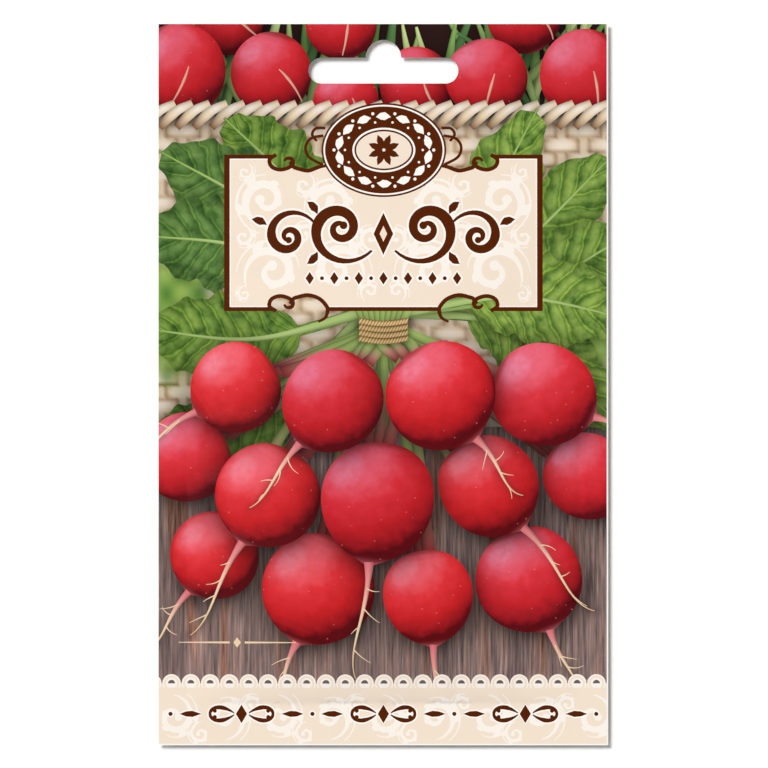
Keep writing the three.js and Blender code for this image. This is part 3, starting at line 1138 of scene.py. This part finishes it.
def bulbInk(add, spot, inShape):
    # Smooth radish skin: deep red below and pinker above, with a broken sheen, pale pores and faint rings
    side, up, along = inShape
    flat = add("CombineXYZ", [side, up])
    square = add("VectorMath", [flat, flat], operation="DOT_PRODUCT").outputs["Value"]
    left = add("Math", [1.0, square], operation="SUBTRACT", use_clamp=True)
    normal = add("CombineXYZ", [side, up, add("Math", [left], operation="SQRT")])
    body, broad, small = [
        add("VectorMath", [normal, way], operation="DOT_PRODUCT").outputs["Value"]
        for way in ((-0.26, 0.56, 0.62), (-0.40, 0.70, 0.59), (-0.52, 0.52, 0.68))]
    mottle, patch = [add("TexNoise", {"Vector": spot, "Scale": perMetre(size), "Detail": 5.0})
                     for size in ("mottleSize", "sheenSize")]
    uneven = add("Math", [mottle, 0.34, body], operation="MULTIPLY_ADD")
    skin = add("ValToRGB", [uneven], [
        (0.0, "5A0A12"), (0.2, "96171F"), (0.5, "C32229"), (0.8, "DA343F"), (1.0, "E85463")])
    broken = add("MapRange", [patch, 0.3, 0.72, 0.6, 1.15])
    pores = add("TexVoronoi", {"Vector": spot, "Scale": perMetre("poreSpacing")})
    lot = add("SeparateColor", [pores.outputs["Color"]])
    chosen = add("Math", [lot, 0.6], operation="GREATER_THAN")

    # Over the skin: two patches of sheen, pores in some cells, the brown crown and the pink tail end
    for value, low, high, strength, within, hexColour in (
        (broad, 0.62, 1.0, 0.4, broken, "EC8099"),
        (small, 0.92, 1.0, 0.34, broken, "F2A6C4"),
        (pores, 0.13, 0.05, 0.3, chosen, "F0B0A0"),
        (along, 0.76, 1.0, 0.7, 1.0, "6E241C"),
        (along, -0.93, -1.12, 0.8, 1.0, "CF6A72"),
    ):
        reach = add("MapRange", [value, low, high, 0.0, strength], interpolation_type="SMOOTHSTEP")
        amount = add("Math", [reach, within], operation="MULTIPLY")
        skin = add("Mix", {0: amount, 6: skin, 7: rgba(hexColour)}, data_type="RGBA").outputs[2]

    # Faint rings that grow stronger towards both ends
    ripple = add("Math", [along, 46.0, mottle], operation="MULTIPLY_ADD")
    towardsEnds = add("Math", [along], operation="ABSOLUTE")
    depth = add("MapRange", [towardsEnds, 0.55, 1.0, 0.0, 0.09], interpolation_type="SMOOTHSTEP")
    ring = add("Math", [ripple], operation="SINE")
    return [skin, add("Math", [ring, depth, 1.0], operation="MULTIPLY_ADD")]


def leafInk(add, spot, inShape):
    # Crinkled radish leaf: green panels swelling between paler side veins
    wave, crinkle = [add("TexNoise", {"Vector": spot, "Scale": perMetre(size), "Detail": 4.0})
                     for size in ("leafWave", "leafCrinkle")]
    across = add("Math", [inShape["Y"]], operation="ABSOLUTE")
    swell = add("Math", [inShape["X"], finish["leafVeins"], wave], operation="MULTIPLY_ADD")
    slanted = add("Math", [across, -1.7, swell], operation="MULTIPLY_ADD")
    veins = add("ValToRGB", [add("Math", [slanted], operation="FRACT")], [
        (0.0, "F6FFD2"), (0.05, "D9E8B4"), (0.14, "98AA8A"), (0.45, "D8E0C6"), (0.7, "E6ECD4"),
        (0.93, "B4C2A0"), (1.0, "F0FACA")])
    lift = add("ValToRGB", [crinkle], [(0.28, "7E9A80"), (0.5, "D4E0C4"), (0.72, "FFFFE8")])
    edge = add("MapRange", [across, 0.55, 1.0, 1.0, 0.78], interpolation_type="SMOOTHSTEP")
    return [veins, lift, edge]


def strandInk(add, spot, inShape):
    # Round stems, roots and twine: lit along the middle and darker at both sides
    fromLight = add("Math", [inShape["Y"], 0.25], operation="ADD")
    square = add("Math", [fromLight, fromLight], operation="MULTIPLY")
    return [add("MapRange", [square, 0.0, 1.3, 1.08, 0.5])]


def paperMaterial():
    # Uncoated white paper core, seen at the cut edge and inside: dull and slightly fibrous
    material, add, spot = startMaterial("uncoatedPaperCore")
    fibre = add("TexNoise", {"Vector": spot, "Scale": perMetre("coreFibre"), "Detail": 5.0})
    colour = add("ValToRGB", [fibre], [(0.3, "EFECE6"), (0.7, "F9F7F3")])
    coat(add, colour, 0.85, fibre, 0.6, finish["coreDepth"])
    return material


def seedMaterial():
    # Dry seed coat: dull reddish brown, paler and darker from seed to seed, finely pitted
    material, add, spot = startMaterial("drySeedCoat")
    patch = add("TexNoise", {"Vector": spot, "Scale": perMetre("seedPatch")})
    colour = add("ValToRGB", [patch], [(0.3, "7A4526"), (0.5, "A06A3E"), (0.7, "C08B58")])
    pits = add("TexVoronoi", {"Vector": spot, "Scale": perMetre("pitSpacing")})
    coat(add, colour, 0.7, pits, 0.5, finish["pitDepth"])
    return material


paper = paperMaterial()
frontInks = {ink: printMaterial(name, drawInk) for ink, name, drawInk in (
    ("flat", "varnishedPrintTints", flatInk),
    ("board", "varnishedPrintBoard", boardInk),
    ("bulb", "varnishedPrintRadish", bulbInk),
    ("leaf", "varnishedPrintLeaf", leafInk),
    ("strand", "varnishedPrintStems", strandInk),
)}
frontInks["paper"] = paper
backInks = {"flat": frontInks["flat"], "paper": paper}
print("materials made")

frontWeb = buildWeb("frontWeb", frontArtwork(), paintBackdrop, frontOuter, frontInner, 1, frontInks)
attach(frontWeb, "root")
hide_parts("front_web")

backWeb = buildWeb("backWeb", backArtwork(), paintBack, backOuter, backInner, -1, backInks)
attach(backWeb, "root")
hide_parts("back_web")


def buildSeeds():
    mesh = bpy.data.meshes.new("seedBed")
    work = bmesh.new()
    rest = packet["paperThickness"] + seed["aboveBack"]
    for x, y in seedSpots:
        size = vary(0.9, 1.06) * np.array(seed["halfSize"])
        made = bmesh.ops.create_icosphere(work, subdivisions=2, radius=1.0)["verts"]
        turn = vary(0, math.pi)
        dents = vary(0, 6, 3)
        for vertex in made:
            direction = np.array(vertex.co)
            dent = 1 + 0.05 * np.sin(direction * 3.1 + dents).sum()
            px, py, pz = direction * size * dent
            vertex.co = Vector((
                x + px * math.cos(turn) - py * math.sin(turn),
                y + px * math.sin(turn) + py * math.cos(turn),
                rest + size[2] * 1.12 + pz,
            )) * mm
    for face in work.faces:
        face.smooth = True
    work.to_mesh(mesh)
    work.free()
    mesh.materials.append(seedMaterial())
    return addObject("seedBed", mesh)


seedBed = buildSeeds()
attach(seedBed, "root")
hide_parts("seeds")
print("packet built")


# Floor, light and camera

studio = {
    "floorHex": "FBFBFB",
    "floorReach": 30.0,
    "floorRoughness": 0.9,
    "frameWidth": 164.0,  # mm of the packet's plane that the picture takes in
    "aim": (0.13, 0.14),
    "distance": 1.6,
    "sensor": 36,
    "keyStrength": 2.8,
    "keySoftness": 24,  # degrees that the light spreads over
    "keyFrom": (-0.50, 0.50, 1.0),
    "skyStrength": 1.2,
    "sky": [  # brightness from the horizon up to overhead, by the sine of the height
        (0.0, "FFFFFF"), (0.015, "FFFFFF"), (0.05, "707070"), (0.42, "656565"), (0.54, "CACACA"),
        (0.74, "CACACA"), (0.86, "404040"), (1.0, "383838"),
    ],
}


def buildStage():
    mesh = bpy.data.meshes.new("floor")
    reach = studio["floorReach"]
    mesh.from_pydata([(x, y, 0) for x, y in boxOutline(-reach, -reach, reach, reach)], [], [(0, 1, 2, 3)])
    floor = addObject("floor", mesh)
    material = bpy.data.materials.new("paleFloor")
    material.use_nodes = True
    shader = material.node_tree.nodes["Principled BSDF"]
    shader.inputs["Base Color"].default_value = rgba(studio["floorHex"])
    shader.inputs["Roughness"].default_value = studio["floorRoughness"]
    mesh.materials.append(material)

    # A ring of soft light half way up a dim room, so the print keeps its depth from above and from low down
    world = bpy.data.worlds.new("softRoom")
    world.use_nodes = True
    world.node_tree.nodes.clear()
    add = partial(addNode, world.node_tree)
    height = add("SeparateXYZ", [add("TexCoord")]).outputs["Z"]
    glow = add("ValToRGB", [height], studio["sky"])
    add("OutputWorld", [add("Background", [glow, studio["skyStrength"]])])
    bpy.context.scene.world = world

    lamp = bpy.data.lights.new("key", "SUN")
    lamp.energy = studio["keyStrength"]
    lamp.angle = math.radians(studio["keySoftness"])
    key = addObject("key", lamp)
    key.rotation_euler = (-Vector(studio["keyFrom"])).to_track_quat("-Z", "Y").to_euler()


def buildCamera():
    camera = bpy.data.cameras.new("camera")
    camera.sensor_width = studio["sensor"]
    camera.lens = studio["sensor"] * studio["distance"] / (studio["frameWidth"] * mm)
    camera.clip_end = 20
    view = addObject("camera", camera)
    aimX, aimY = studio["aim"]
    view.location = (aimX * mm, aimY * mm, sealPlane * mm + studio["distance"])
    bpy.context.scene.camera = view


buildStage()
buildCamera()
bpy.context.scene.view_settings.view_transform = "Standard"

print("scene ready")
